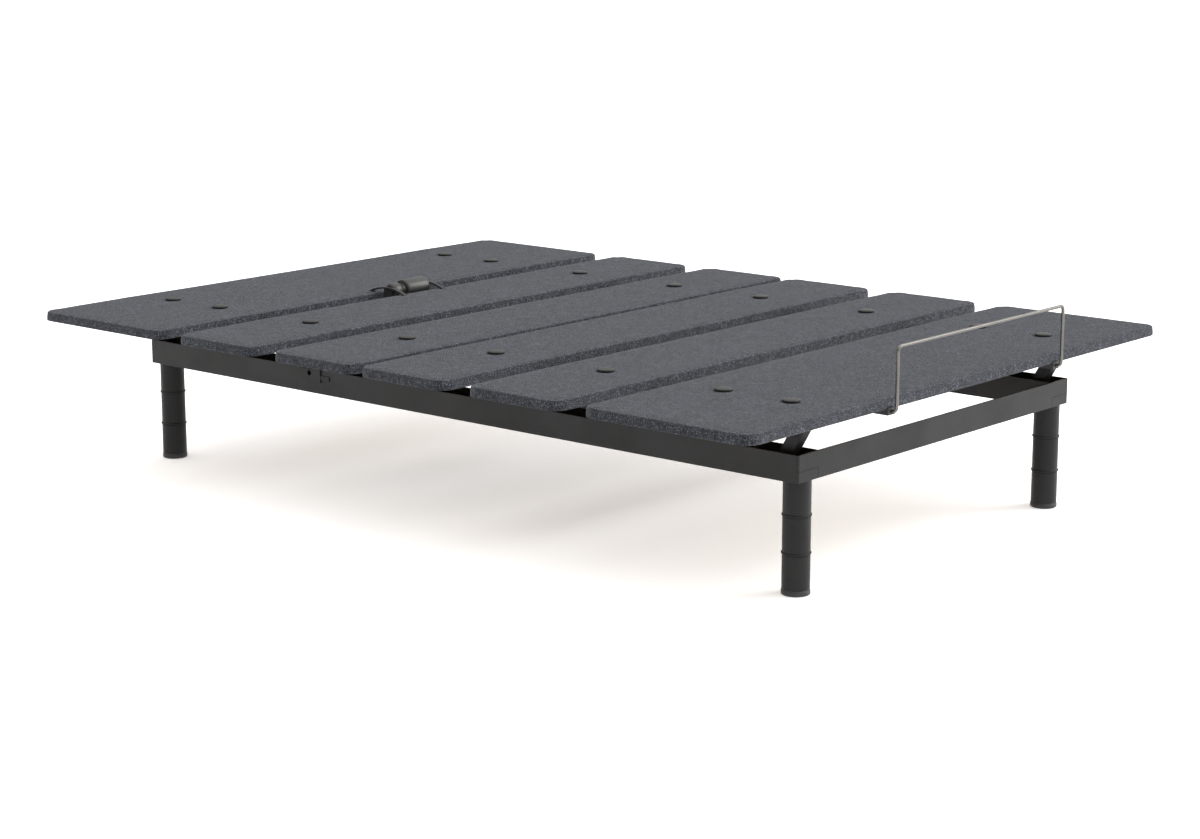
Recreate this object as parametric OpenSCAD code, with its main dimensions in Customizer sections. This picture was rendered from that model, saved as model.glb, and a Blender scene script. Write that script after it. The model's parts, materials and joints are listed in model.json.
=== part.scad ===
// Adjustable bed base: six padded panels on a hinged tube frame, carried by a channel-rail base on four legs.
// X runs across the bed, +Y points to the head end, +Z is up. The origin is on the floor under the middle.

/* [Deck] */
// Width of the deck across the bed
deck_w = 1500; // [1450:10:1560]
// Length of the deck from its head edge to its foot edge
deck_l = 2040; // [2020:10:2060]
// Height of the deck's top above the floor
deck_top = 379; // [377:1:382]
// Length of the two end panels
end_panel_l = 408; // [400:2:410]
// Length of each of the four middle panels
slat_l = 245; // [241:1:246]
// Gap between seat and thigh panels
hinge_gap = 16; // [16:1:18]
// Thickness of a padded panel
panel_t = 20; // [19:0.5:20]
// Thickness of the board inside a panel
board_t = 15; // [12:0.5:16]
// Corner radius of the panels
corner_r = 32; // [24:2:50]
// Distance of the outer buttons from an end panel's edge
button_inset = 122; // [100:1:130]
// Diameter of a button
button_d = 36; // [34:1:44]
// Height of a button above the deck
button_h = 6; // [4:0.5:8]

/* [Base frame] */
// Width of the frame over its side rails
frame_w = 994; // [980:2:1010]
// Length of the frame over its end rails
frame_l = 1884; // [1870:2:1900]
// Height of the rails
rail_h = 55; // [53:1:56]
// Width of a side rail's channel
rail_w = 70; // [68:1:74]
// Thickness of the rails' sheet metal
sheet = 2.5; // [2:0.25:3]
// Thickness of the end rails
end_t = 4; // [3:0.5:5]

/* [Legs] */
// Height of the rails' underside above the floor
leg_h = 230; // [228:1:232]
// Diameter of a leg
leg_d = 56; // [50:1:60]
// Height of one lower leg section
leg_section = 76; // [70:1:78]

/* [Deck frame] */
// Width of the deck's side tubes
tube_w = 30; // [30:1:32]
// Height of the deck's side tubes
tube_h = 45; // [44:1:46]
// Wall of the tubes
tube_t = 2; // [1.5:0.25:2.5]
// Diameter of a foot roller
roller_d = 38; // [36:1:40]
// Lean of the roller arms towards the foot end
arm_lean = 30; // [26:1:32]

/* [Retainer bar] */
// Width of the retainer bar between its posts' centres
bar_w = 610; // [500:2:700]
// Height of the retainer bar's top above the deck
bar_rise = 105; // [80:1:120]
// Diameter of the retainer bar's rod
bar_d = 7; // [6:0.5:8]
// How far the retainer bar stands out beyond the deck's foot edge
bar_out = 20; // [18:1:24]

/* [Hidden] */
$fn = 48;

// Colours
steel_dark = [0.24, 0.24, 0.24];
steel_black = [0.10, 0.10, 0.11];
steel_bright = [0.62, 0.62, 0.63];
fabric_grey = [0.37, 0.38, 0.41];
plywood = [0.72, 0.58, 0.40];
plastic_black = [0.08, 0.08, 0.09];
motor_grey = [0.42, 0.42, 0.42];
button_brown = [0.24, 0.23, 0.22];

// Small clearances
run = 0.05;
cut = 1;

// Places along the bed: the deck's middle, then its panels from head to foot
mid_y = bar_out / 2;
wide_gap = (deck_l - 2 * end_panel_l - 4 * slat_l - hinge_gap) / 4;
panel_l = [end_panel_l, slat_l, slat_l, slat_l, slat_l, end_panel_l];
gap_l = [wide_gap, wide_gap, hinge_gap, wide_gap, wide_gap];
function panel_head(i) = i == 0 ? mid_y + deck_l / 2 : panel_head(i - 1) - panel_l[i - 1] - gap_l[i - 1];
function panel_mid(i) = panel_head(i) - panel_l[i] / 2;
deck_head = panel_head(0);
deck_foot = deck_head - deck_l;
deck_bottom = deck_top - panel_t;
cover_wall = 3;
bolt_r = 4;
bolt_hole_r = 4.2;
bolt_below = 8;

// Base frame: it sits a little towards the foot end
frame_mid = mid_y - 2;
frame_head = frame_mid + frame_l / 2;
frame_foot = frame_mid - frame_l / 2;
rail_floor = leg_h + sheet;
rail_top = leg_h + rail_h;
rail_inner = frame_w / 2 - rail_w;
bend_r = 5;
tab_h = 22;
tab_x = rail_inner + 4;
seam = 0.5;
flange_w = 29;
leg_x = frame_w / 2 - 38;
leg_inset = 29;
leg_y = [frame_head - leg_inset, frame_foot + leg_inset];
stud_r = 5;
stud_l = 19;
leg_wall = 2.5;
leg_seam = 0.3;
glide_h = 12;
glide_lip = 6;
ring_proud = 1.2;
ring_h = 3;
mount_plate_s = 44;
mount_plate_t = 4;
nut_h = 9;

// Deck frame
tube_x = frame_w / 2 - rail_w / 2 - 2;
tube_mid = deck_bottom - tube_h / 2;
tube_bottom = deck_bottom - tube_h;
cross_s = 30;
cross_z = deck_bottom - cross_s / 2;
span = tube_x - tube_w / 2;
tube_end_inset = 40;
tube_r = 4;
cap_t = 2;
rest_pad = [26, 32];
rest_y = [mid_y + 840, mid_y - 232];
seat_leg_y = [mid_y + 60, mid_y + 205];
seat_leg_foot = [44, 40, 4];
back_cross_y = mid_y + 815;
calf_cross_y = [mid_y - 340, mid_y - 895];

// Hinges: the back and knee pivots are clevises, the thigh pivot is a knuckle between two panels
hinge_reach = hinge_gap / 2 + slat_l + wide_gap / 2;
back_pivot = [mid_y + hinge_reach, tube_mid];
knee_pivot = [mid_y - hinge_reach, tube_mid];
thigh_pivot = [mid_y, deck_bottom - 3];
pin_r = 6;
ear_r = 16;
ear_in = 10;
ear_out = tube_w / 2;
ear_gap = 16;
tongue_half = 8;
tongue_gap = 20;
knuckle_r = 6;
knuckle_pin_r = 3.5;
knuckle_half = 5;
knuckle_gap = 10;

// Foot rollers: each runs along the floor of its side rail
roller_w = 16;
roller_gap = 1.5;
roller_edge = 1.5;
axle_r = 5;
roller_pos = [mid_y - 880, rail_floor + roller_gap + roller_d / 2];
arm_w = 25;
arm_t = 28;
arm_l = 150;
calf_foot = mid_y - 925;

// Actuators: base pin, lever pin at rest and the lever's slot, as [y, z]
cross_member_w = 40;
cross_member_z = leg_h + 25;
clevis_reach = cross_member_w / 2 + 16;
clevis_r = 14;
end_plate = [70, 46];
end_plate_t = 4;
head_cross_y = mid_y + 397;
foot_cross_y = mid_y - 256;
head_act_x = 70;
foot_act_x = -70;
head_act_base = [foot_cross_y + clevis_reach, cross_member_z];
foot_act_base = [head_cross_y - clevis_reach, cross_member_z];
back_lever_angle = -125;
thigh_lever_angle = -70;
function polar(c, r, a) = [c[0] + r * cos(a), c[1] + r * sin(a)];
head_rod_pin = polar(back_pivot, 90.9, back_lever_angle);
foot_rod_pin = polar(thigh_pivot, 102.8, thigh_lever_angle);
back_slot = polar(back_pivot, 84.85, back_lever_angle);
thigh_slot = polar(thigh_pivot, 100.5, thigh_lever_angle);
lug_in = 15;
lug_out = 21;
lever_plate_in = 13;
lever_plate_out = 19;
gearbox_start = 20;
gearbox_end = 90;
rod_r = 10;
shell_r = 19;
shell_bore = 15;
shell_gap = 40;
bush_l = 25;
gearbox_s = [56, 52];
drive_r = 24;
drive_l = 118;
drive_y = 55;
eye_r = 14;
eye_half = 12;
rod_pin_half = 22;
head_act_l = norm(head_rod_pin - head_act_base);
foot_act_l = norm(foot_rod_pin - foot_act_base);

// Plate on each side rail, its bolt hole as [y, z], and the control box
side_hole = [head_cross_y + 1, leg_h + 45];
side_hole_r = 6;
side_plate = [70, 28];
side_plate_t = 3;
side_tongue = [28, 10];
side_tongue_t = 2;
box_x = -330;
box_s = [150, 96];
box_h = 38;
inlet = [28, 20, 20];

// Massage motor in the first gap
motor_y = panel_head(1) + wide_gap / 2;
motor_z = deck_top + 2;
motor_r = 25;
motor_end = 62;
collar_end = -58;
collar_seam = -18;
strap_chord = 120;
strap_rise = 14;
strap_t = 4;
strap_w = 10;
strap_block = [26, 24];
strap_boss_r = 11;
shaft_r = 4;
weight_r = 17;
weight_l = 34;

// Retainer bar
bar_low = deck_bottom - 7;
bar_y = deck_foot - bar_out + bar_d / 2;
bar_top = deck_top + bar_rise - bar_d / 2;
bar_bend = 10;
bar_inner = deck_foot + 62;
bracket = [24, 14];
bracket_y = [deck_foot - 5, deck_foot + 74];

// ---- Shared shapes ----

// Rectangle with round corners, centred
module rounded_rect(w, l, r) {
    square([w - 2 * r, l], center = true);
    square([w, l - 2 * r], center = true);
    for (sx = [-1, 1], sy = [-1, 1])
        translate([sx * (w / 2 - r), sy * (l / 2 - r)]) circle(r);
}

// Section of a rectangular tube
module tube_section(w, h, r) {
    difference() {
        rounded_rect(w, h, r);
        rounded_rect(w - 2 * tube_t, h - 2 * tube_t, r - tube_t / 2);
    }
}

// A (y, z) outline made thick along X from x0 to x1
module along_x(x0, x1)
    translate([min(x0, x1), 0, 0]) rotate([90, 0, 90]) linear_extrude(abs(x1 - x0)) children();

// An (x, z) outline made thick along Y from y0 to y1
module along_y(y0, y1)
    translate([0, max(y0, y1), 0]) rotate([90, 0, 0]) linear_extrude(abs(y1 - y0)) children();

// Box between two opposite corners
module block(a, b)
    translate([for (k = [0:2]) min(a[k], b[k])]) cube([for (k = [0:2]) abs(a[k] - b[k])]);

// Round rod along X
module rod_x(x0, x1, r, p) along_x(x0, x1) translate(p) circle(r);

// Rectangular tube along Y, with its middle at x and z
module tube_y(x, z, foot, head) along_y(foot, head) translate([x, z]) tube_section(tube_w, tube_h, tube_r);

// Square cross tube between the deck's side tubes
module cross_tube(y) along_x(-span, span) translate([y, cross_z]) tube_section(cross_s, cross_s, tube_r);

// Straight bar with round ends, from p to q, as a flat outline; its sides are a hair inside its ends
module link(p, q, r) {
    d = q - p;
    side = r - run;
    translate(p) rotate(atan2(d[1], d[0])) translate([0, -side]) square([norm(d), 2 * side]);
    translate(p) circle(r);
    translate(q) circle(r);
}

// Two ears over a pivot; dir says on which side of the pivot their tube lies
module ears(x, p, dir) {
    for (s = [-1, 1])
        along_x(x + s * ear_in, x + s * ear_out) difference() {
            link(p, p + [dir * 2 * ear_gap, 0], ear_r);
            translate(p) circle(pin_r + run / 2);
        }
}

// Tongue between two ears, on a plate that closes its tube's end
module tongue(x, p, dir) {
    along_x(x - tongue_half, x + tongue_half) difference() {
        link(p, p + [dir * (tongue_gap - 1), 0], ear_r - 1);
        translate(p) circle(pin_r + run);
        translate(p + [dir * 50, 0]) square([2 * (50 - tongue_gap), 2 * ear_r], center = true);
    }
    along_y(p[0] + dir * tongue_gap, p[0] + dir * (tongue_gap + 4))
        translate([x, p[1]]) rounded_rect(tube_w, tube_h, tube_r);
}

// Cap that closes a tube's end from y0 to y1
module tube_cap(x, y0, y1) along_y(y0, y1) translate([x, tube_mid]) rounded_rect(tube_w, tube_h, tube_r);

// Bolt holes for the buttons of panel i through the top of a side tube
module bolt_holes(i, x) {
    for (y = button_rows(i)) translate([x, y, tube_mid]) cylinder(h = tube_h, r = bolt_hole_r);
}

// Headed pin along X
module headed_pin(x, p, r, half) {
    rod_x(x - half, x + half, r, p);
    for (s = [-1, 1]) rod_x(x + s * half - 1.5, x + s * half + 1.5, r + 2.5, p);
}

// Places an actuator's own frame: its base pin at the origin and its rod along +Y
module actuator_at(x, base, tip) {
    d = tip - base;
    translate([x, base[0], base[1]]) rotate([atan2(d[1], d[0]), 0, 0]) children();
}

// ---- Panels ----

function button_rows(i) = panel_l[i] > slat_l
    ? [for (s = [-1, 1]) panel_mid(i) + s * (panel_l[i] / 2 - button_inset)]
    : [panel_mid(i)];

module stem_holes(i) {
    for (s = [-1, 1], y = button_rows(i))
        translate([s * tube_x, y, deck_bottom - cut]) cylinder(h = panel_t + 2 * cut, r = bolt_hole_r);
}

module panel_board(i) {
    color(plywood) difference() {
        translate([0, panel_mid(i), deck_bottom]) linear_extrude(board_t)
            rounded_rect(deck_w - 2 * cover_wall, panel_l[i] - 2 * cover_wall, corner_r - cover_wall);
        stem_holes(i);
    }
}

module panel_cover(i) {
    color(fabric_grey) difference() {
        translate([0, panel_mid(i), deck_bottom]) linear_extrude(panel_t)
            rounded_rect(deck_w, panel_l[i], corner_r);
        translate([0, panel_mid(i), deck_bottom - cut]) linear_extrude(board_t + cut)
            rounded_rect(deck_w - 2 * cover_wall, panel_l[i] - 2 * cover_wall, corner_r - cover_wall);
        stem_holes(i);
    }
}

// Disc button with its bolt, which ends in the side tube's top wall
module button() {
    r = button_d / 2;
    h = button_h;
    rotate_extrude() polygon([
        [0, 0], [r - 0.8, 0], [r, 0.8], [r, h - 2.2], [r - 0.8, h - 1.2],
        [r - 3, h - 0.6], [r - 9, h - 0.2], [0, h]
    ]);
    translate([0, 0, -panel_t - bolt_below]) cylinder(h = panel_t + bolt_below + cut, r = bolt_r);
}

module button_set(panels) {
    color(button_brown) for (i = panels, s = [-1, 1], y = button_rows(i))
        translate([s * tube_x, y, deck_top]) button();
}

// ---- Base frame ----

// Plan outline of the frame, with its four vertical bends
module frame_outline() translate([0, frame_mid, leg_h - cut]) linear_extrude(rail_h + 2 * cut)
    rounded_rect(frame_w, frame_l, bend_r);

module side_rail(side) {
    color(steel_dark) intersection() {
        frame_outline();
        difference() {
            union() {
                along_y(frame_foot + end_t, frame_head - end_t) difference() {
                    translate([side * (frame_w / 2 - rail_w / 2), leg_h + rail_h / 2])
                        square([rail_w, rail_h], center = true);
                    translate([side * (frame_w / 2 - rail_w / 2), rail_floor + rail_h / 2])
                        square([rail_w - 2 * sheet, rail_h], center = true);
                }
                for (y = [frame_foot, frame_head - end_t])
                    block([side * tab_x, y, leg_h], [side * frame_w / 2, y + end_t, leg_h + tab_h]);
            }
            for (y = leg_y) translate([side * leg_x, y, leg_h - cut])
                cylinder(h = sheet + 2 * cut, r = stud_r + 0.2);
            rod_x(side * frame_w / 2 - 2 * sheet, side * frame_w / 2 + 2 * sheet, side_hole_r, side_hole);
        }
    }
}

module end_rail(outer, dir) {
    color(steel_dark) intersection() {
        frame_outline();
        union() {
            difference() {
                block([-frame_w / 2, outer, leg_h], [frame_w / 2, outer + dir * end_t, rail_top]);
                for (s = [-1, 1])
                    block([s * (tab_x - seam), outer - dir * cut, leg_h - cut],
                          [s * frame_w, outer + dir * (2 * end_t + cut), leg_h + tab_h + seam]);
            }
            block([-rail_inner, outer + dir, leg_h], [rail_inner, outer + dir * flange_w, leg_h + end_t]);
        }
    }
}

// Plates on the side rails' outer faces, each with a bolt hole and a short tongue
module side_plates() {
    color(steel_dark) for (s = [-1, 1]) difference() {
        union() {
            along_x(s * frame_w / 2, s * (frame_w / 2 + side_plate_t))
                translate([side_hole[0], rail_top - 0.5 - side_plate[1] / 2])
                    square(side_plate, center = true);
            along_x(s * frame_w / 2, s * (frame_w / 2 + side_tongue_t))
                translate([side_hole[0] - side_plate[0] / 2 - side_tongue[0] / 2 + cut, side_hole[1] - 8])
                    square(side_tongue, center = true);
        }
        rod_x(s * frame_w / 2 - 5, s * frame_w / 2 + 5, side_hole_r, side_hole);
    }
}

// Cross member between the side rails with a clevis for one actuator
module cross_member(y, x, base) {
    dir = sign(base[0] - y);
    color(steel_black) {
        along_x(-rail_inner, rail_inner) translate([y, cross_member_z])
            tube_section(cross_member_w, cross_s, tube_r);
        for (s = [-1, 1]) along_x(s * (rail_inner - end_plate_t), s * rail_inner)
            translate([y, cross_member_z]) square(end_plate, center = true);
        for (s = [-1, 1]) along_x(x + s * lug_in, x + s * lug_out) difference() {
            link(base, [y + dir * 12, base[1]], clevis_r);
            translate(base) circle(pin_r + run / 2);
            translate([y, cross_member_z]) rounded_rect(cross_member_w, cross_s, tube_r);
        }
    }
}

module leg_mount_plates() {
    color(steel_bright) for (s = [-1, 1], y = leg_y) translate([s * leg_x, y, rail_floor]) difference() {
        union() {
            linear_extrude(mount_plate_t) square(mount_plate_s, center = true);
            translate([0, 0, mount_plate_t]) cylinder(h = nut_h, r = 2 * stud_r, $fn = 6);
        }
        translate([0, 0, -cut]) cylinder(h = stud_l + cut, r = stud_r + run);
    }
}

// Leg of three stacked sections; the top one ends in a stud
module leg(side, y) {
    r = leg_d / 2;
    starts = [glide_h, glide_lip + leg_section, glide_lip + 2 * leg_section];
    ends = [starts[1] - leg_seam, starts[2] - leg_seam, leg_h];
    color(steel_dark) translate([side * leg_x, y, 0]) for (k = [0:2]) {
        difference() {
            union() {
                translate([0, 0, starts[k]]) cylinder(h = ends[k] - starts[k], r = r);
                if (k > 0) translate([0, 0, starts[k]]) cylinder(h = ring_h, r = r + ring_proud);
                if (k == 2) translate([0, 0, leg_h - cut]) cylinder(h = stud_l + cut, r = stud_r);
            }
            translate([0, 0, starts[k] - cut])
                cylinder(h = ends[k] - starts[k] - 2 * leg_wall, r = r - leg_wall);
        }
    }
}

module leg_glides() {
    r = leg_d / 2;
    color(plastic_black) for (s = [-1, 1], y = leg_y) translate([s * leg_x, y, 0]) rotate_extrude()
        polygon([[0, 0], [r - 1, 0], [r + 1, 2], [r + 1, glide_h - 2], [r, glide_h], [0, glide_h]]);
}

// Rubber blocks that the back and thigh frames lie on when the bed is flat
module rest_blocks() {
    color(plastic_black) for (s = [-1, 1], y = rest_y)
        translate([s * tube_x - rest_pad[0] / 2, y - rest_pad[1] / 2, rail_floor])
            cube([rest_pad[0], rest_pad[1], tube_bottom - rail_floor - 0.5]);
}

module control_box() {
    color(plastic_black) difference() {
        translate([box_x, head_cross_y, cross_member_z + cross_s / 2]) linear_extrude(box_h)
            rounded_rect(box_s[0], box_s[1], 8);
        translate([box_x, head_cross_y + box_s[1] / 2, cross_member_z + cross_s / 2 + box_h / 2])
            cube(inlet, center = true);
    }
}

// ---- Seat: fixed to the base ----

module seat_tube(side) {
    x = side * tube_x;
    foot = thigh_pivot[0] + knuckle_gap;
    color(steel_black) difference() {
        union() {
            tube_y(x, tube_mid, foot, back_pivot[0] - ear_gap);
            ears(x, back_pivot, -1);
            for (s = [-1, 1])
                knuckle(x + s * (knuckle_half + 0.5 + 4.5), 4.5, 1);
            along_y(foot - 2, foot + 20) translate([x, thigh_pivot[1] - 5.5])
                square([tube_w - 2 * tube_t, 13], center = true);
            for (y = seat_leg_y) translate([x, y - seat_leg_foot[1] / 2, rail_floor]) {
                for (s = [-1, 1])
                    translate([s * 11 - 2, 0, 0]) cube([4, seat_leg_foot[1], tube_bottom - rail_floor + cut]);
                translate([-seat_leg_foot[0] / 2, 0, 0]) cube(seat_leg_foot);
            }
        }
        bolt_holes(2, x);
    }
}

// One knuckle of the thigh hinge, reaching to its tube's end; half is half its width along X
module knuckle(x, half, dir) {
    p = thigh_pivot;
    along_x(x - half, x + half) difference() {
        union() {
            translate(p) circle(knuckle_r);
            translate(p + [dir * (knuckle_gap + 2) / 2, -2.5]) square([knuckle_gap + 2, 7], center = true);
        }
        translate(p) circle(knuckle_pin_r + run);
    }
}

// Pins in the base: back hinge, thigh hinge and actuator clevises
module pivot_pins() {
    color(steel_bright) {
        for (s = [-1, 1]) {
            headed_pin(s * tube_x, back_pivot, pin_r, ear_out + 2);
            headed_pin(s * tube_x, thigh_pivot, knuckle_pin_r, ear_out + 2);
        }
        headed_pin(head_act_x, head_act_base, pin_r, 23);
        headed_pin(foot_act_x, foot_act_base, pin_r, 23);
    }
}

// ---- Back section ----

module back_tube(side) {
    x = side * tube_x;
    head = deck_head - tube_end_inset;
    color(steel_black) difference() {
        union() {
            tube_y(x, tube_mid, back_pivot[0] + tongue_gap, head);
            tongue(x, back_pivot, 1);
            tube_cap(x, head - cap_t, head);
        }
        bolt_holes(0, x);
        bolt_holes(1, x);
    }
}

module back_cross_tube() color(steel_black) cross_tube(back_cross_y);

// Cross tube with two slotted lever plates that an actuator's rod pushes
module lever_tube(y, x, slot, angle, half_l, half_w) {
    color(steel_black) {
        cross_tube(y);
        for (s = [-1, 1])
            along_x(x + s * lever_plate_in, x + s * lever_plate_out)
                difference() {
                    link([y, cross_z - 8], slot, 19);
                    link(polar(slot, half_l, angle), polar(slot, half_l, angle + 180), half_w);
                    translate([y, cross_z]) rounded_rect(cross_s, cross_s, tube_r);
                }
    }
}
module back_lever_tube() lever_tube(back_pivot[0] + 60, head_act_x, back_slot, back_lever_angle, 6.5, 7.7);

// ---- Massage motor ----

module turned_x(points) translate([0, motor_y, motor_z]) rotate([0, 90, 0]) rotate_extrude() polygon(points);

module motor_housing() color(motor_grey) turned_x([
    [0, motor_end], [14, motor_end], [21, motor_end - 3], [24.4, motor_end - 10], [motor_r, motor_end - 18],
    [motor_r, collar_seam + 8], [motor_r - 1.5, collar_seam + 2], [motor_r - 5, collar_seam],
    [motor_r - 5, motor_end - 12], [4.05, motor_end - 12], [4.05, motor_end - 6], [0, motor_end - 6]
]);

module motor_collar() color(motor_grey) turned_x([
    [0, collar_end], [15, collar_end], [18.5, collar_end + 3], [20, collar_end + 9], [20, collar_end + 18],
    [18.5, collar_end + 26], [16, collar_end + 33], [16.5, collar_seam], [19.9, collar_seam],
    [19.9, collar_seam + 6], [4.05, collar_seam + 6], [4.05, collar_seam - 8], [0, collar_seam - 8]
]);

// Off-centre weight on the motor's shaft
module motor_weight() {
    color(steel_bright) translate([0, motor_y, motor_z]) rotate([0, 90, 0]) {
        translate([0, 0, collar_seam - 7.5]) cylinder(h = motor_end - collar_seam, r = shaft_r);
        translate([0, 0, 2]) difference() {
            cylinder(h = weight_l, r = weight_r);
            translate([-weight_r, 0, weight_l / 2])
                cube([2 * weight_r, 3 * weight_r, 2 * weight_l], center = true);
        }
    }
}

module motor_straps() {
    ring_r = (strap_chord * strap_chord / 4 + strap_rise * strap_rise) / (2 * strap_rise);
    centre = [motor_y, deck_top + strap_rise - ring_r];
    color(motor_grey) for (s = [-1, 1]) {
        x = s < 0 ? collar_end : motor_end;
        along_x(x, x + s * strap_w) intersection() {
            difference() {
                translate(centre) circle(ring_r, $fn = 96);
                translate(centre) circle(ring_r - strap_t, $fn = 96);
            }
            translate([motor_y, deck_top + strap_chord / 2])
                square([2 * strap_chord, strap_chord], center = true);
        }
        along_x(x + s * 3, x + s * (strap_w - 3))
            translate([motor_y, motor_z - 2]) square(strap_block, center = true);
        rod_x(x, x + s * 3, strap_boss_r, [motor_y, motor_z - 1]);
    }
}

// ---- Thigh section ----

module thigh_tube(side) {
    x = side * tube_x;
    head = thigh_pivot[0] - knuckle_gap;
    color(steel_black) difference() {
        union() {
            tube_y(x, tube_mid, knee_pivot[0] + ear_gap, head);
            ears(x, knee_pivot, 1);
            knuckle(x, knuckle_half, -1);
            along_y(head - 20, head + 2) translate([x, thigh_pivot[1] - 5.5])
                square([tube_w - 2 * tube_t, 13], center = true);
        }
        bolt_holes(3, x);
    }
}
module thigh_lever_tube() lever_tube(mid_y - 60, foot_act_x, thigh_slot, thigh_lever_angle, 3.2, 6.8);

module knee_pins()
    color(steel_bright) for (s = [-1, 1]) headed_pin(s * tube_x, knee_pivot, pin_r, ear_out + 2);

// ---- Calf section ----

// Arm that leans from its roller up to the underside of the foot panel
module roller_arm(x) intersection() {
    translate([x, roller_pos[0], roller_pos[1]]) rotate([arm_lean, 0, 0])
        translate([-arm_w / 2, -arm_t / 2, -arm_t / 2]) cube([arm_w, arm_t, arm_l]);
    block([x - arm_w, deck_foot, 0], [x + arm_w, roller_pos[0] + arm_t, deck_bottom]);
}

module calf_tube(side) {
    x = side * tube_x;
    color(steel_black) difference() {
        union() {
            tube_y(x, tube_mid, calf_foot, knee_pivot[0] - tongue_gap);
            tongue(x, knee_pivot, -1);
            tube_cap(x, calf_foot, calf_foot + cap_t);
            roller_arm(x);
        }
        rod_x(x - arm_w, x + arm_w, axle_r, roller_pos);
        bolt_holes(4, x);
        bolt_holes(5, x);
    }
}
module calf_cross_tubes() color(steel_black) for (y = calf_cross_y) cross_tube(y);

// Axle of each roller: a headed bolt through the arm
module roller_axles() {
    color(steel_bright) for (s = [-1, 1]) {
        a = s * (tube_x - arm_w / 2);
        b = s * (tube_x + arm_w / 2 + roller_w + 2);
        rod_x(a, b, axle_r, roller_pos);
        rod_x(a, a - s * 3, axle_r + 4, roller_pos);
        rod_x(b, b + s * 2, axle_r + 3, roller_pos);
    }
}

module roller(side) {
    a = side * (tube_x + arm_w / 2 + 1);
    b = side * (tube_x + arm_w / 2 + 1 + roller_w);
    r = roller_d / 2;
    color(plastic_black) translate([min(a, b), roller_pos[0], roller_pos[1]]) rotate([0, 90, 0])
        rotate_extrude() polygon([
            [axle_r + run, 0], [r - roller_edge, 0], [r, roller_edge], [r, roller_w - roller_edge],
            [r - roller_edge, roller_w], [axle_r + run, roller_w]
        ]);
}

// ---- Retainer bar ----

module retainer_brackets() {
    color(plastic_black) for (s = [-1, 1]) along_y(bracket_y[0], bracket_y[1]) difference() {
        translate([s * bar_w / 2, deck_bottom - bracket[1] / 2]) square(bracket, center = true);
        translate([s * bar_w / 2, bar_low]) circle(bar_d / 2 + 2 * run);
    }
}

// Quarter bend of the bar's rod in the XZ or YZ plane
module bar_elbow() rotate_extrude(angle = 90) translate([bar_bend, 0]) circle(bar_d / 2);

module retainer_bar() {
    r = bar_d / 2;
    color(steel_bright) {
        for (s = [-1, 1]) translate([s * bar_w / 2, 0, 0]) {
            translate([0, bar_inner, bar_low]) rotate([90, 0, 0])
                cylinder(h = bar_inner - bar_y - bar_bend, r = r);
            translate([0, bar_y + bar_bend, bar_low + bar_bend]) rotate([0, 0, 180]) rotate([90, 0, 90])
                rotate([0, 0, -90]) bar_elbow();
            translate([0, bar_y, bar_low + bar_bend])
                cylinder(h = bar_top - bar_low - 2 * bar_bend, r = r);
        }
        for (s = [0, 1]) mirror([s, 0, 0])
            translate([bar_w / 2 - bar_bend, bar_y, bar_top - bar_bend]) rotate([90, 0, 0]) bar_elbow();
        translate([bar_bend - bar_w / 2, bar_y, bar_top]) rotate([0, 90, 0])
            cylinder(h = bar_w - 2 * bar_bend, r = r);
    }
}

// ---- Actuators ----

// Gearbox with its rear eye and its motor, which points to the outside
module gearbox(out) {
    color(plastic_black) difference() {
        union() {
            rod_x(-14, 14, 13, [0, 0]);
            translate([-14, 0, -11]) cube([28, gearbox_start + 1, 22]);
            along_y(gearbox_start, gearbox_end) rounded_rect(gearbox_s[0], gearbox_s[1], 6);
            rod_x(0, out * drive_l, drive_r, [drive_y, 0]);
        }
        rod_x(-20, 20, pin_r + run, [0, 0]);
    }
}

module shell(l) {
    color(steel_bright) difference() {
        along_y(gearbox_end, l - shell_gap) circle(shell_r);
        along_y(gearbox_end + 4, l - shell_gap - bush_l) circle(shell_bore);
        along_y(gearbox_end + 5, l) circle(rod_r + run);
    }
}

// Rod with the eye and cross pin that sit between the lever plates
module rod(l) {
    color(steel_bright) {
        along_y(gearbox_end + 12, l - 8) circle(rod_r);
        rod_x(-eye_half, eye_half, eye_r, [l, 0]);
        rod_x(-rod_pin_half, rod_pin_half, pin_r, [l, 0]);
        for (s = [-1, 1]) rod_x(s * (rod_pin_half - 2), s * (rod_pin_half + 1), pin_r + 4, [l, 0]);
    }
}

module head_actuator() actuator_at(head_act_x, head_act_base, head_rod_pin) children();
module foot_actuator() actuator_at(foot_act_x, foot_act_base, foot_rod_pin) children();

side_rail(-1);  // side_rail_left
side_rail(1);  // side_rail_right
end_rail(frame_head, -1);  // end_rail_head
end_rail(frame_foot, 1);  // end_rail_foot
side_plates();
cross_member(head_cross_y, foot_act_x, foot_act_base);  // cross_member_head
cross_member(foot_cross_y, head_act_x, head_act_base);  // cross_member_foot
leg_mount_plates();
leg(-1, leg_y[0]);  // leg_head_left
leg(1, leg_y[0]);  // leg_head_right
leg(-1, leg_y[1]);  // leg_foot_left
leg(1, leg_y[1]);  // leg_foot_right
leg_glides();
rest_blocks();
control_box();
seat_tube(-1);  // seat_tube_left
seat_tube(1);  // seat_tube_right
pivot_pins();
panel_board(2);  // seat_board
panel_cover(2);  // seat_cover
button_set([2]);  // seat_buttons
back_tube(-1);  // back_tube_left
back_tube(1);  // back_tube_right
back_cross_tube();
back_lever_tube();
panel_board(0);  // head_board
panel_cover(0);  // head_cover
panel_board(1);  // back_board
panel_cover(1);  // back_cover
button_set([0, 1]);  // back_buttons
motor_housing();
motor_collar();
motor_straps();
motor_weight();
thigh_tube(-1);  // thigh_tube_left
thigh_tube(1);  // thigh_tube_right
thigh_lever_tube();
panel_board(3);  // thigh_board
panel_cover(3);  // thigh_cover
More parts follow.
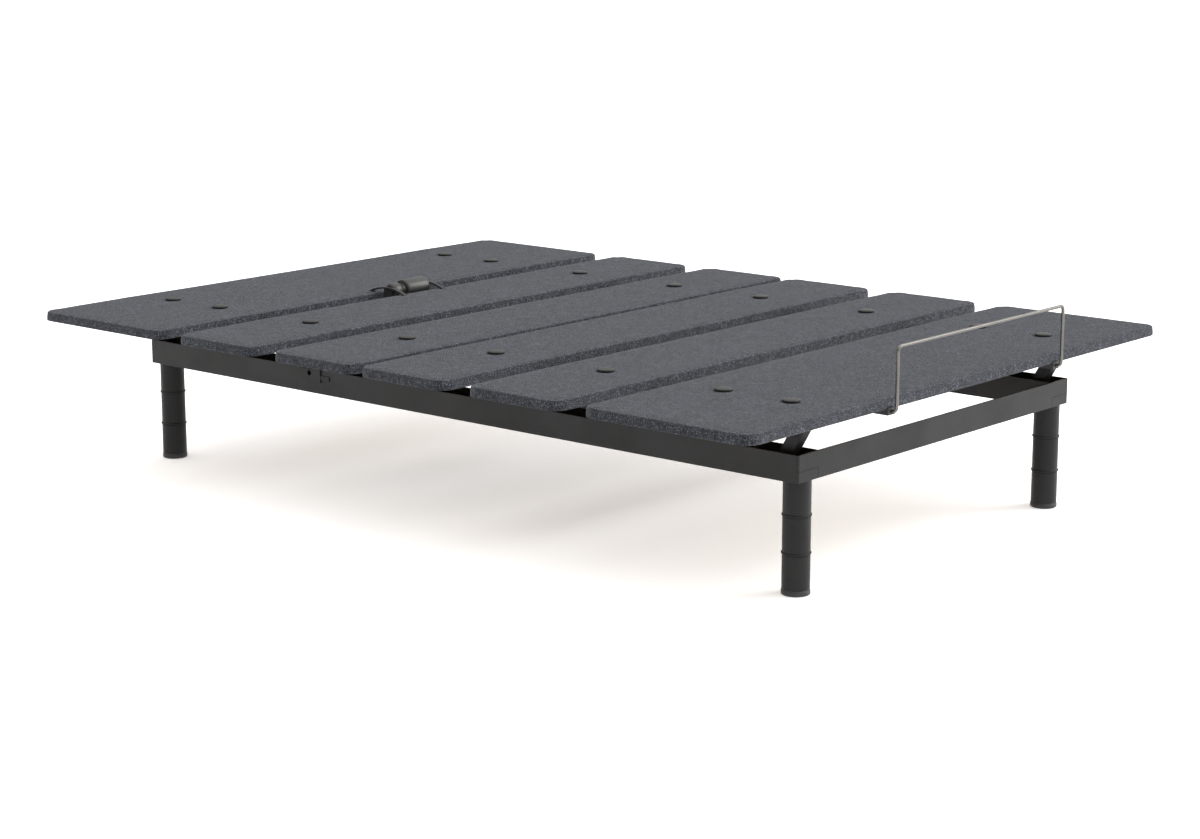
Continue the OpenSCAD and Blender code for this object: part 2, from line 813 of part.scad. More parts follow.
button_set([3]);  // thigh_buttons
knee_pins();
calf_tube(-1);  // calf_tube_left
calf_tube(1);  // calf_tube_right
calf_cross_tubes();
panel_board(4);  // calf_board
panel_cover(4);  // calf_cover
panel_board(5);  // foot_board
panel_cover(5);  // foot_cover
button_set([4, 5]);  // foot_buttons
roller_axles();
roller(-1);  // roller_left
roller(1);  // roller_right
retainer_brackets();
retainer_bar();
head_actuator() gearbox(1);  // head_actuator_gearbox
head_actuator() shell(head_act_l);  // head_actuator_tube
head_actuator() rod(head_act_l);  // head_actuator_rod
foot_actuator() gearbox(-1);  // foot_actuator_gearbox
foot_actuator() shell(foot_act_l);  // foot_actuator_tube
foot_actuator() rod(foot_act_l);  // foot_actuator_rod
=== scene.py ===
"""Looks of an adjustable bed base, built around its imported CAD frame.

Metres, +X across the bed, +Y towards the head end, +Z up. Sizes and places come from the frame's nodes.
"""

import json
import math

import bpy
import numpy as np
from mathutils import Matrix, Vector


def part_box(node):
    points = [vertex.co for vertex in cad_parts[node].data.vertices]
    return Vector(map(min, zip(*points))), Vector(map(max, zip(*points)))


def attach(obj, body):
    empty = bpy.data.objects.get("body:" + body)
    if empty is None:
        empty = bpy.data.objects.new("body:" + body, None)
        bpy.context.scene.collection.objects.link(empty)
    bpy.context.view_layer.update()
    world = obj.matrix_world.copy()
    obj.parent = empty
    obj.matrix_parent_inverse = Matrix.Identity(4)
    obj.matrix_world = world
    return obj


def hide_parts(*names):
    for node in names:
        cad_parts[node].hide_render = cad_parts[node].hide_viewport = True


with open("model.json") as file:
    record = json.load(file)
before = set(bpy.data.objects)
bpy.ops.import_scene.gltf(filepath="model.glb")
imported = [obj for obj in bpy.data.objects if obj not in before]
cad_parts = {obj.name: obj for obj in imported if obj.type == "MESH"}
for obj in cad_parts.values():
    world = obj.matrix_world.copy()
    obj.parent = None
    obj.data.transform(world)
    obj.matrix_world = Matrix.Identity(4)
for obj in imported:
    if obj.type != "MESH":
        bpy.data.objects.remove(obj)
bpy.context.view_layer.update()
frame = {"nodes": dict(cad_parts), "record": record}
scene = bpy.context.scene
MM = 0.001

# ---------------------------------------------------------------- camera

CAMERA_AT = Vector((-4.458, -3.815, 1.4125))
CAMERA_AZIMUTH = math.radians(-49.559)
CAMERA_ELEVATION = math.radians(12.204)
CAMERA_LENS = 79.13
SENSOR = 36


def make_camera():
    data = bpy.data.cameras.new("camera")
    data.lens, data.sensor_width = CAMERA_LENS, SENSOR
    data.clip_start, data.clip_end = 0.1, 300
    camera = bpy.data.objects.new("camera", data)
    flat = math.cos(CAMERA_ELEVATION)
    back = Vector(
        (math.sin(CAMERA_AZIMUTH) * flat, -math.cos(CAMERA_AZIMUTH) * flat, math.sin(CAMERA_ELEVATION))
    )
    camera.location = CAMERA_AT
    camera.rotation_mode = "QUATERNION"
    camera.rotation_quaternion = (-back).to_track_quat("-Z", "Y")
    scene.collection.objects.link(camera)
    scene.camera = camera


make_camera()

# ---------------------------------------------------------------- material nodes


class Graph:
    """A material with one Principled shader, whose node tree is built call by call."""

    def __init__(self, name, colour, roughness, metallic=0.0, specular=0.5):
        self.material = bpy.data.materials.new(name)
        self.material.use_nodes = True
        self.material.diffuse_color = (*colour, 1)
        self.tree = self.material.node_tree
        self.tree.nodes.clear()
        self.shader = self.tree.nodes.new("ShaderNodeBsdfPrincipled")
        out = self.tree.nodes.new("ShaderNodeOutputMaterial")
        self.tree.links.new(self.shader.outputs[0], out.inputs[0])
        self.set("Base Color", (*colour, 1))
        self.set("Roughness", roughness)
        self.set("Metallic", metallic)
        self.set("Specular IOR Level", specular)
        coords = self.tree.nodes.new("ShaderNodeTexCoord")
        self.at, self.normal = coords.outputs["Object"], coords.outputs["Normal"]

    def set(self, socket, value):
        """Puts a constant or another node's output on one of the shader's sockets."""
        self.plug(self.shader.inputs[socket], value)

    def plug(self, socket, value):
        if isinstance(value, bpy.types.NodeSocket):
            self.tree.links.new(value, socket)
        elif value is not None:
            socket.default_value = value

    def node(self, kind, inputs=(), **settings):
        made = self.tree.nodes.new(kind)
        for name, value in settings.items():
            setattr(made, name, value)
        for key, value in dict(inputs).items():
            self.plug(made.inputs[key], value)
        return made

    def math(self, operation, a, b=None, c=None):
        inputs = {0: a, 1: b, 2: c}
        return self.node("ShaderNodeMath", inputs, operation=operation).outputs[0]

    def scaled(self, x, y, z, vector=None):
        """The object's coordinates, or a given vector, stretched along each axis."""
        inputs = {0: vector or self.at, 1: (x, y, z)}
        return self.node("ShaderNodeVectorMath", inputs, operation="MULTIPLY").outputs[0]

    def noise(self, scale, detail=2.0, roughness=0.5, vector=None):
        inputs = {"Vector": vector or self.at, "Scale": scale, "Detail": detail, "Roughness": roughness}
        return self.node("ShaderNodeTexNoise", inputs).outputs["Fac"]

    def ramp(self, value, low, high, to_low=0.0, to_high=1.0):
        inputs = {0: value, 1: low, 2: high, 3: to_low, 4: to_high}
        return self.node("ShaderNodeMapRange", inputs).outputs[0]

    def blend(self, factor, a, b):
        """A colour between two colours, each a triple or an output."""
        full = [(*c, 1) if isinstance(c, tuple) else c for c in (a, b)]
        inputs = {0: factor, 6: full[0], 7: full[1]}
        return self.node("ShaderNodeMix", inputs, data_type="RGBA").outputs[2]

    def choose(self, factor, a, b):
        """A number between a and b."""
        return self.node("ShaderNodeMix", {0: factor, 2: a, 3: b}, data_type="FLOAT").outputs[0]

    def split(self, vector):
        return self.node("ShaderNodeSeparateXYZ", {0: vector}).outputs

    def join(self, x, y, z):
        return self.node("ShaderNodeCombineXYZ", {0: x, 1: y, 2: z}).outputs[0]

    def bump(self, height, distance, under=None):
        inputs = {"Height": height, "Distance": distance, "Strength": 1.0, "Normal": under}
        return self.node("ShaderNodeBump", inputs).outputs[0]


def dim(colour, factor):
    return tuple(c * factor for c in colour)


# ---------------------------------------------------------------- materials

FABRIC = (0.0345, 0.0370, 0.0455)
FABRIC_DARK = (0.009, 0.010, 0.014)
FABRIC_LIGHT = (0.118, 0.126, 0.154)
YARN = 2.3 * MM
YARN_UNDER = 0.35
YARN_DRIFT = 0.16
FLECK_SHARE = 1.1
CLOUD_SHARE = 0.25
# Painted shade on the fabric's sides that face X: their colour is scaled by 1 plus this.
X_SIDE_PAINTED_SHADE = -0.25


def fabric_material():
    """Heathered plain weave: yarns of three shades, with the fleck and cloudiness of a melange cloth;
    painted shade darkens the weave's hollows and the sides facing X.
    """
    g = Graph("heathered_weave", FABRIC, 0.93, specular=0.18)
    g.set("Sheen Weight", 0.12)
    g.set("Sheen Roughness", 0.5)
    x, y, z = g.split(g.at)
    nx, ny, nz = [g.math("ABSOLUTE", n) for n in g.split(g.normal)]
    on_side = g.math("LESS_THAN", nz, 0.6)
    faces_x = g.math("MULTIPLY", on_side, g.math("GREATER_THAN", nx, ny))
    u = g.math("DIVIDE", g.choose(faces_x, x, y), YARN)
    v = g.math("DIVIDE", g.choose(on_side, y, z), YARN)
    column, row = g.math("FLOOR", u), g.math("FLOOR", v)
    across, along = g.math("PINGPONG", u, 0.5), g.math("PINGPONG", v, 0.5)
    over = g.math("PINGPONG", g.math("ADD", column, row), 1.0)
    warp = g.math("SINE", g.math("MULTIPLY", across, math.pi))
    weft = g.math("SINE", g.math("MULTIPLY", along, math.pi))
    weft_over = g.math("MULTIPLY_ADD", warp, YARN_UNDER, weft)
    warp_over = g.math("MULTIPLY_ADD", weft, YARN_UNDER, warp)
    height = g.choose(over, weft_over, warp_over)
    warp_shade = g.noise(1.0, 1.0, vector=g.join(column, g.math("MULTIPLY", v, YARN_DRIFT), 3.0))
    weft_shade = g.noise(1.0, 1.0, vector=g.join(g.math("MULTIPLY", u, YARN_DRIFT), row, 8.0))
    yarn_shade = g.choose(over, weft_shade, warp_shade)
    fleck = g.noise(330, 2.0, 0.6)
    cloud = g.noise(38, 3.0, 0.6)
    shade = g.math("MULTIPLY_ADD", g.math("SUBTRACT", fleck, 0.5), FLECK_SHARE, yarn_shade)
    shade = g.math("MULTIPLY_ADD", g.math("SUBTRACT", cloud, 0.5), CLOUD_SHARE, shade)
    dark = g.ramp(shade, 0.50, 0.28)
    light = g.ramp(shade, 0.55, 0.74)
    colour = g.blend(light, g.blend(dark, FABRIC, FABRIC_DARK), FABRIC_LIGHT)
    # Painted shade: the weave's low spots between the yarns are darkened towards black.
    painted_shade = g.ramp(height, 0.2, 0.8, 0.72, 1.0)
    # Painted shade: the sides facing X are darkened a quarter more.
    painted_shade = g.math("MULTIPLY", painted_shade, g.math("MULTIPLY_ADD", faces_x, X_SIDE_PAINTED_SHADE, 1.0))
    g.set("Base Color", g.blend(painted_shade, (0.0, 0.0, 0.0), colour))
    fuzz = g.bump(g.noise(2600, 2.0), 0.10 * MM)
    g.set("Normal", g.bump(height, 0.42 * MM, fuzz))
    return g.material


def powder_coat(name, colour, roughness=0.42, peel=0.05 * MM):
    """Baked powder paint: orange peel, a soft change of gloss and a trace of dust."""
    g = Graph(name, colour, roughness, specular=0.22)
    gloss = g.noise(9, 3.0)
    g.set("Roughness", g.ramp(gloss, 0.3, 0.7, roughness - 0.06, roughness + 0.07))
    tone = g.math("MULTIPLY_ADD", g.noise(900, 2.0, 0.6), 0.25, g.math("MULTIPLY", g.noise(14, 3.0), 0.75))
    g.set("Base Color", g.blend(g.ramp(tone, 0.3, 0.7), dim(colour, 0.88), dim(colour, 1.14)))
    fine = g.bump(g.noise(2400, 1.0), 0.02 * MM)
    g.set("Normal", g.bump(g.noise(520, 2.0), peel, fine))
    return g.material


def metal(name, colour, roughness, grain, stretch=(1, 1, 1), stain=0.10):
    """Bare or plated metal with a drawn or tumbled grain."""
    g = Graph(name, colour, roughness, metallic=1.0)
    lines = g.noise(grain, 3.0, 0.6, vector=g.scaled(*stretch))
    cloud = g.noise(22, 3.0)
    g.set("Roughness", g.ramp(lines, 0.3, 0.7, roughness * 0.75, roughness * 1.3))
    g.set("Base Color", g.blend(g.ramp(cloud, 0.3, 0.7), dim(colour, 1 - stain), dim(colour, 1 + stain)))
    g.set("Normal", g.bump(lines, 0.015 * MM))
    return g.material


def moulded(name, colour, roughness, texture=700, depth=0.06 * MM, metallic=0.0, specular=0.5):
    """Injection moulded plastic with a spark-eroded texture."""
    g = Graph(name, colour, roughness, metallic, specular)
    pits = g.noise(texture, 3.0, 0.65)
    g.set("Roughness", g.ramp(pits, 0.3, 0.7, roughness - 0.06, roughness + 0.08))
    g.set("Base Color", g.blend(g.noise(30, 3.0), dim(colour, 0.85), dim(colour, 1.15)))
    g.set("Normal", g.bump(pits, depth))
    return g.material


PLY_LIGHT = (0.52, 0.36, 0.20)
PLY_DARK = (0.33, 0.20, 0.10)


def plywood_material():
    """Rotary-cut birch face with its figure along X."""
    g = Graph("birch_plywood", PLY_LIGHT, 0.62, specular=0.3)
    warp = g.noise(2.2, 3.0)
    x, y, z = g.split(g.at)
    bent = g.join(g.math("MULTIPLY", x, 0.5), g.math("MULTIPLY_ADD", warp, 0.12, y), z)
    figure = g.noise(16, 4.0, 0.6, vector=g.scaled(0.5, 3.0, 1.0, bent))
    pores = g.noise(420, 2.0, 0.7, vector=g.scaled(0.05, 1.0, 1.0))
    face = g.blend(g.ramp(figure, 0.35, 0.68), PLY_LIGHT, PLY_DARK)
    face = g.blend(g.ramp(pores, 0.58, 0.75, 0.0, 0.5), face, dim(PLY_DARK, 0.6))
    g.set("Base Color", face)
    g.set("Roughness", g.ramp(figure, 0.3, 0.7, 0.55, 0.72))
    g.set("Normal", g.bump(pores, 0.05 * MM))
    return g.material


FRAME_COAT = (0.0125, 0.0125, 0.0128)
MATERIALS = {
    "frame_steel": powder_coat("frame_coat", FRAME_COAT),
    "deck_steel": powder_coat("deck_coat", (0.011, 0.011, 0.012), 0.48),
    "zinc_steel": metal("zinc_plate", (0.52, 0.52, 0.50), 0.38, 300, stain=0.12),
    "bar_steel": metal("satin_nickel", (0.150, 0.142, 0.131), 0.30, 500, stain=0.08),
    "rod_chrome": metal("chromed_rod", (0.62, 0.62, 0.63), 0.12, 900, stain=0.03),
    "tube_aluminium": metal("anodised_tube", (0.50, 0.50, 0.51), 0.36, 240, (1.0, 0.05, 1.0), 0.05),
    "fabric": fabric_material(),
    "plywood": plywood_material(),
    "black_plastic": moulded("black_nylon", (0.018, 0.018, 0.019), 0.46),
    "roller_nylon": moulded("roller_nylon", (0.022, 0.022, 0.022), 0.36, 300, 0.03 * MM),
    "rubber": moulded("rubber", (0.013, 0.013, 0.013), 0.78, 420, 0.10 * MM, specular=0.3),
    "button_plastic": moulded("button_plastic", (0.013, 0.012, 0.011), 0.36, 520, 0.04 * MM, specular=0.3),
    "motor_plastic": moulded("motor_enamel", (0.038, 0.037, 0.0355), 0.34, 380, 0.03 * MM, 0.5),
}
# Painted shade: the motor straps get a darker coat than the motor, standing in for the shade on their sides.
STRAP_PAINTED_SHADE_COAT = powder_coat("strap_painted_shade_coat", (0.018, 0.0175, 0.017), 0.36)

# ---------------------------------------------------------------- pieces


def finish_piece(obj, slot, body, replaced, sharp=None):
    """Gives a new piece the material of its slot, smooth shading and its body, and hides the CAD nodes that
    it stands for.
    """
    obj.data.materials.append(MATERIALS[slot])
    obj.data.polygons.foreach_set("use_smooth", [True] * len(obj.data.polygons))
    if sharp:
        obj.data.set_sharp_from_angle(angle=math.radians(sharp))
    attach(obj, body)
    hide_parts(*replaced)


def mesh_piece(name, parts):
    """One object from several (vertices, faces) parts."""
    verts, faces = [], []
    for part_verts, part_faces in parts:
        faces += [tuple(i + len(verts) for i in face) for face in part_faces]
        verts += [tuple(v) for v in part_verts]
    data = bpy.data.meshes.new(name)
    data.from_pydata(verts, [], faces)
    data.validate()
    obj = bpy.data.objects.new(name, data)
    scene.collection.objects.link(obj)
    return obj


def filleted(points, radius, steps=5):
    """An open line of (r, h) points with every inner corner rounded."""
    out = [points[0]]
    for before, corner, after in zip(points, points[1:], points[2:]):
        c = Vector(corner)
        a, b = Vector(before) - c, Vector(after) - c
        reach = min(radius, a.length * 0.45, b.length * 0.45)
        start, end = c + a.normalized() * reach, c + b.normalized() * reach
        for k in range(steps + 1):
            t = k / steps
            out.append(tuple(start * (1 - t) ** 2 + c * 2 * t * (1 - t) + end * t ** 2))
    return out + [points[-1]]


def lathe(profile, centre, steps=72):
    """A (radius, height) line turned about Z. It starts and ends at radius 0, where it closes on a point."""
    verts, rings = [], []
    for r, h in profile:
        ring = []
        for k in range(steps if r > 0 else 1):
            turn = 2 * math.pi * k / steps
            ring.append(len(verts))
            verts.append(Vector(centre) + Vector((r * math.cos(turn), r * math.sin(turn), h)))
        rings.append(ring)
    faces = []
    for low, high in zip(rings, rings[1:]):
        for k in range(steps):
            n = (k + 1) % steps
            if len(low) == 1:
                faces.append((low[0], high[n], high[k]))
            elif len(high) == 1:
                faces.append((low[k], low[n], high[0]))
            else:
                faces.append((low[k], low[n], high[n], high[k]))
    return verts, faces


# ---------------------------------------------------------------- fabric covers

CORNER = 32 * MM
EDGE = 3.2 * MM
FOLD_EDGE = 1.2 * MM
FOLD = 24 * MM
CLOTH_T = 0.6 * MM
HEM = 2.6 * MM
BOARD_GAP = 0.1 * MM
STEP = 13 * MM
CROWN = 1.5 * MM
BUTTON_R = 18 * MM
PRESSURE = 4
SIM_FRAMES = 20
PANELS = {"head": "back", "back": "back", "seat": "base", "thigh": "thigh", "calf": "calf", "foot": "calf"}
BUTTON_NODES = {
    "back_buttons": "back",
    "seat_buttons": "base",
    "thigh_buttons": "thigh",
    "foot_buttons": "calf",
}


def button_places():
    """The top middle of every button disc."""
    places = {}
    for node in BUTTON_NODES:
        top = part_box(node)[1].z
        on_top = [v.co for v in frame["nodes"][node].data.vertices if v.co.z > top - 1e-5]
        at = {(round(co.x, 4), round(co.y, 4)) for co in on_top}
        places[node] = sorted(at)
    return places


BUTTONS = button_places()


def grid_lines(half, corner):
    """Grid lines from -half to half, with a line where each round corner begins."""
    in_corner = max(4, round(corner / STEP))
    between = round(2 * (half - corner) / STEP)
    parts = [
        np.linspace(-half, corner - half, in_corner + 1)[:-1],
        np.linspace(corner - half, half - corner, between + 1)[:-1],
        np.linspace(half - corner, half, in_corner + 1),
    ]
    return np.concatenate(parts)


def rounded_grid(half_x, half_y, corner):
    """Points of a rounded rectangle as a grid, and the grid's border as (column, row) pairs in order."""
    xs, ys = grid_lines(half_x, corner), grid_lines(half_y, corner)
    points = np.array([[(x, y) for y in ys] for x in xs])
    past = np.abs(points) - (half_x - corner, half_y - corner)
    in_corner = (past > 0).all(axis=2)
    shrink = past.max(axis=2) / np.maximum(np.hypot(past[..., 0], past[..., 1]), 1e-9)
    bent = np.sign(points) * (past * shrink[..., None] + (half_x - corner, half_y - corner))
    points[in_corner] = bent[in_corner]
    nx, ny = len(xs), len(ys)
    border = [(i, 0) for i in range(nx)] + [(nx - 1, j) for j in range(1, ny)]
    border += [(i, ny - 1) for i in range(nx - 2, -1, -1)] + [(0, j) for j in range(ny - 2, 0, -1)]
    return points, border


def outward(point, half_x, half_y, corner):
    """The outward direction of a rounded rectangle's border at one of its points."""
    past = np.abs(point) - (half_x - corner, half_y - corner)
    side = np.where(past > 0, past, 0.0)
    if side.min() <= 0:
        side = (np.abs(point) >= np.array((half_x, half_y)) - 1e-6).astype(float)
    return np.sign(point) * side / np.hypot(*side)


def arc(centre_out, centre_z, radius, start, end, steps):
    """(out, z) points along an arc, its first point left out."""
    turns = [math.radians(start + (end - start) * k / steps) for k in range(1, steps + 1)]
    return [(centre_out + radius * math.cos(t), centre_z + radius * math.sin(t)) for t in turns]


class Cover:
    """The cloth of one panel: over the padding, round the edge and folded under the board."""

    def __init__(self, name):
        self.low, self.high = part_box(name + "_cover")
        self.board_low, self.board_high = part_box(name + "_board")
        self.name = name
        half = (self.high - self.low) / 2
        self.middle = (self.high + self.low) / 2
        self.half = (half.x - EDGE, half.y - EDGE, CORNER - EDGE)
        self.points, self.border = rounded_grid(*self.half)
        self.nx, self.ny = self.points.shape[:2]
        rim = [self.points[i, j] for i, j in self.border]
        self.rim = [(p, outward(p, *self.half)) for p in rim]
        self.verts, self.faces = [], []

    def add_grid(self, z, shrink, flip):
        """A full grid at one height, drawn in by shrink from the cover's own grid."""
        first = len(self.verts)
        hx, hy, _ = self.half
        scale = np.array(((hx - shrink) / hx, (hy - shrink) / hy))
        for i in range(self.nx):
            for j in range(self.ny):
                x, y = self.points[i, j] * scale
                self.verts.append((self.middle.x + x, self.middle.y + y, z))
        for i in range(self.nx - 1):
            for j in range(self.ny - 1):
                a = first + i * self.ny + j
                quad = (a, a + self.ny, a + self.ny + 1, a + 1)
                self.faces.append(quad[::-1] if flip else quad)
        return [first + i * self.ny + j for i, j in self.border]

    def add_loop(self, out, z):
        first = len(self.verts)
        for p, n in self.rim:
            x, y = p + n * out
            self.verts.append((self.middle.x + x, self.middle.y + y, z))
        return list(range(first, len(self.verts)))

    def bridge(self, upper, lower):
        count = len(upper)
        for k in range(count):
            n = (k + 1) % count
            self.faces.append((upper[k], lower[k], lower[n], upper[n]))

    def outer_skin(self):
        """The part that is simulated: the top, the edge, the side and the fold under the board."""
        top, bottom = self.high.z - CROWN, self.low.z - HEM
        line = arc(0, top - EDGE, EDGE, 90, 0, 4)
        side_low = bottom + FOLD_EDGE
        line += [(EDGE, side_low + 0.5 * (top - EDGE - side_low)), (EDGE, side_low)]
        line += arc(EDGE - FOLD_EDGE, bottom + FOLD_EDGE, FOLD_EDGE, 0, -90, 3)
        line += [(EDGE - FOLD * 0.5, bottom), (EDGE - FOLD, self.low.z - CLOTH_T)]
        loop = self.add_grid(top, 0.0, flip=False)
        for out, z in line:
            below = self.add_loop(out, z)
            self.bridge(loop, below)
            loop = below
        self.last_loop = loop

    def inner_skin(self):
        """The inside: it lies against the board, and closes the cloth."""
        gap = BOARD_GAP
        wall = self.high.x - self.board_high.x
        loop = self.last_loop
        places = [
            (EDGE - FOLD, self.board_low.z - gap),
            (EDGE - wall + gap, self.board_low.z - gap),
            (EDGE - wall + gap, self.board_high.z + gap),
        ]
        for out, z in places:
            nxt = self.add_loop(out, z)
            self.bridge(loop, nxt)
            loop = nxt
        self.bridge(loop, self.add_grid(self.board_high.z + gap, wall, flip=True))

    def build(self):
        self.outer_skin()
        skin = len(self.verts)
        simulated = self.simulate()
        self.verts[:skin] = simulated
        self.inner_skin()
        obj = mesh_piece(self.name + "_fabric", [(self.verts, self.faces)])
        smooth = obj.modifiers.new("smooth", "SUBSURF")
        smooth.levels = smooth.render_levels = 1
        finish_piece(obj, "fabric", PANELS[self.name], [self.name + "_cover"])

    def pinned(self):
        """Cloth that can't move: the fold, the lower half of the side and the patch under each button."""
        held = []
        middle_z = (self.low.z + self.high.z) / 2
        centres = [p for places in BUTTONS.values() for p in places]
        for k, (x, y, z) in enumerate(self.verts):
            under_button = any(math.hypot(x - bx, y - by) < BUTTON_R * 0.95 for bx, by in centres)
            if z < middle_z or under_button:
                held.append(k)
        return held

    def simulate(self):
        """Blows the cloth out from its slack shape, held at the fold and under the buttons."""
        obj = mesh_piece("slack_" + self.name, [(self.verts, self.faces)])
        group = obj.vertex_groups.new(name="held")
        group.add(self.pinned(), 1.0, "REPLACE")
        cloth = obj.modifiers.new("cloth", "CLOTH")
        settings = cloth.settings
        settings.quality = 6
        settings.mass = 0.25
        settings.tension_stiffness = settings.compression_stiffness = 12
        settings.bending_stiffness = 2.5
        settings.use_pressure = True
        settings.uniform_pressure_force = PRESSURE
        settings.vertex_group_mass = "held"
        settings.effector_weights.gravity = 0
        cloth.collision_settings.use_collision = False
        cloth.point_cache.frame_end = SIM_FRAMES
        for number in range(1, SIM_FRAMES + 1):
            scene.frame_set(number)
        moved = obj.evaluated_get(bpy.context.evaluated_depsgraph_get()).data
        now = np.array([v.co for v in moved.vertices])
        rest = np.array(self.verts)
        shift = now - rest
        length = np.maximum(np.linalg.norm(shift, axis=1), 1e-9)
        shift *= (np.minimum(length, CROWN) / length)[:, None]
        print(f"{self.name}: cloth moved {length.max() / MM:.1f} mm, median {np.median(length) / MM:.2f} mm")
        bpy.data.objects.remove(obj)
        scene.frame_set(1)
        return [tuple(p) for p in rest + shift]


for panel in PANELS:
    Cover(panel).build()

# ---------------------------------------------------------------- buttons

BUTTON_H = 6 * MM
BUTTON_LINE = [(17.0, -1.7), (18.0, -0.6), (18.0, 3.4), (16.6, 4.7), (12.3, 5.6), (6.2, 5.95)]
BUTTON_ROUND = 1.2 * MM
STEM_R = 4 * MM
STEM_TOP = -1.5 * MM
STEM_STEPS = 24


def button_parts(x, y, disc_z, stem_low):
    """A domed disc with a rolled edge, on its bolt."""
    line = [(r * MM, h * MM) for r, h in BUTTON_LINE]
    profile = filleted([(0, line[0][1])] + line + [(0, BUTTON_H)], BUTTON_ROUND)
    depth = disc_z - stem_low
    stem = [(0, -depth), (STEM_R, -depth), (STEM_R, STEM_TOP), (0, STEM_TOP)]
    return [lathe(profile, (x, y, disc_z)), lathe(stem, (x, y, disc_z), STEM_STEPS)]


def make_buttons():
    for node, body in BUTTON_NODES.items():
        low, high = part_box(node)
        disc_z = high.z - BUTTON_H
        parts = [p for x, y in BUTTONS[node] for p in button_parts(x, y, disc_z, low.z)]
        finish_piece(mesh_piece(node + "_turned", parts), "button_plastic", body, [node], sharp=50)


make_buttons()

# ---------------------------------------------------------------- legs

LEG_R = 28 * MM
RING_PROUD = 1.8 * MM
RING_H = 3.2 * MM
RING_SLOPE = 0.8 * MM
GROOVE_R = LEG_R - 1.2 * MM
GROOVE_H = 1.0 * MM
LEG_NODES = ["leg_head_left", "leg_head_right", "leg_foot_left", "leg_foot_right"]
SECTIONS = [(12.0, 81.8), (82.0, 157.8), (158.0, 230.0)]
STUD_R = 5 * MM
STUD_TOP = 249 * MM
LEG_WALL = 2.5 * MM
LEG_CAP = 5 * MM
LEG_ROUND = 0.6 * MM
LEG_STEPS = 96
GLIDE_LINE = [(0, 0), (26.5, 0), (28.9, 2.0), (29.0, 8.6), (28.2, 9.4), (28.2, 12.0), (0, 12.0)]
GLIDE_ROUND = 0.8 * MM
GLIDE_R = 29 * MM


def leg_sections():
    """Profiles of the sections: each but the top one ends in a groove, each but the lowest has a ring."""
    profiles = []
    for k, (low, high) in enumerate(SECTIONS):
        low, high = low * MM, high * MM
        bore, proud = LEG_R - LEG_WALL, LEG_R + RING_PROUD
        line = [(0, high - LEG_CAP), (bore, high - LEG_CAP), (bore, low)]
        if k:
            line += [(proud, low), (proud, low + RING_H), (LEG_R, low + RING_H + RING_SLOPE)]
        else:
            line += [(LEG_R, low)]
        if k == len(SECTIONS) - 1:
            line += [(LEG_R, high), (STUD_R, high), (STUD_R, STUD_TOP), (0, STUD_TOP)]
        else:
            line += [(LEG_R, high - GROOVE_H), (GROOVE_R, high - GROOVE_H), (GROOVE_R, high), (0, high)]
        profiles.append(filleted(line, LEG_ROUND, 3))
    return profiles


def make_legs():
    profiles = leg_sections()
    for node in LEG_NODES:
        low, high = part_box(node)
        at = ((low.x + high.x) / 2, (low.y + high.y) / 2, 0)
        obj = mesh_piece(node + "_turned", [lathe(p, at, LEG_STEPS) for p in profiles])
        finish_piece(obj, "frame_steel", "base", [node], sharp=40)


def make_glides():
    low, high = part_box("leg_glides")
    profile = filleted([(r * MM, h * MM) for r, h in GLIDE_LINE], GLIDE_ROUND, 4)
    xs, ys = ((a + GLIDE_R, b - GLIDE_R) for a, b in ((low.x, high.x), (low.y, high.y)))
    places = [(x, y, 0) for x in xs for y in ys]
    obj = mesh_piece("leg_glides_turned", [lathe(profile, p, LEG_STEPS) for p in places])
    finish_piece(obj, "black_plastic", "base", ["leg_glides"], sharp=40)


make_legs()
make_glides()

# ---------------------------------------------------------------- CAD nodes that stay

EDGE_SOFTNESS = {
    "frame_steel": 0.3,
    "deck_steel": 0.6,
    "zinc_steel": 0.4,
    "rod_chrome": 0.4,
    "tube_aluminium": 0.4,
    "plywood": 0.6,
    "black_plastic": 1.0,
    "rubber": 1.2,
    "motor_plastic": 0.6,
    "bar_steel": 0.3,
    "roller_nylon": 0.5,
}
MATERIAL_OF = {"motor_straps": STRAP_PAINTED_SHADE_COAT}


def dress(node, slot):
    """A carried-over CAD node: its faces are joined, its edges softened and its material set."""
    obj = frame["nodes"][node]
    if obj.hide_render:
        return
    material = MATERIAL_OF.get(node, MATERIALS[slot])
    for k in range(len(obj.material_slots)):
        obj.material_slots[k].material = material
    if "custom_normal" in obj.data.attributes:
        obj.data.attributes.remove(obj.data.attributes["custom_normal"])
    weld = obj.modifiers.new("weld", "WELD")
    weld.merge_threshold = 1e-6
    flat = obj.modifiers.new("flat", "DECIMATE")
    flat.decimate_type = "DISSOLVE"
    flat.angle_limit = math.radians(0.3)
    soft = obj.modifiers.new("soft", "BEVEL")
    soft.width = EDGE_SOFTNESS[slot] * MM
    soft.segments = 2
    soft.limit_method = "ANGLE"
    soft.angle_limit = math.radians(35)
    soft.use_clamp_overlap = False
    soft.harden_normals = True


for row in frame["record"]["subparts"]:
    dress(row["node"], row["material_slot"])

# ---------------------------------------------------------------- studio

FLOOR_HALF = 60
FLOOR_COLOUR = (0.92, 0.92, 0.92)
FLOOR_GLOW = 0.42
SKY_BASE = 0.30
SKY_ZENITH = 1.9
SKY_SIDE = 0.90
KEY_RADIANCE = 5.5
KEY_AZIMUTH = math.radians(54)
KEY_ELEVATION = math.radians(30)
KEY_RADIUS = (12, 20)


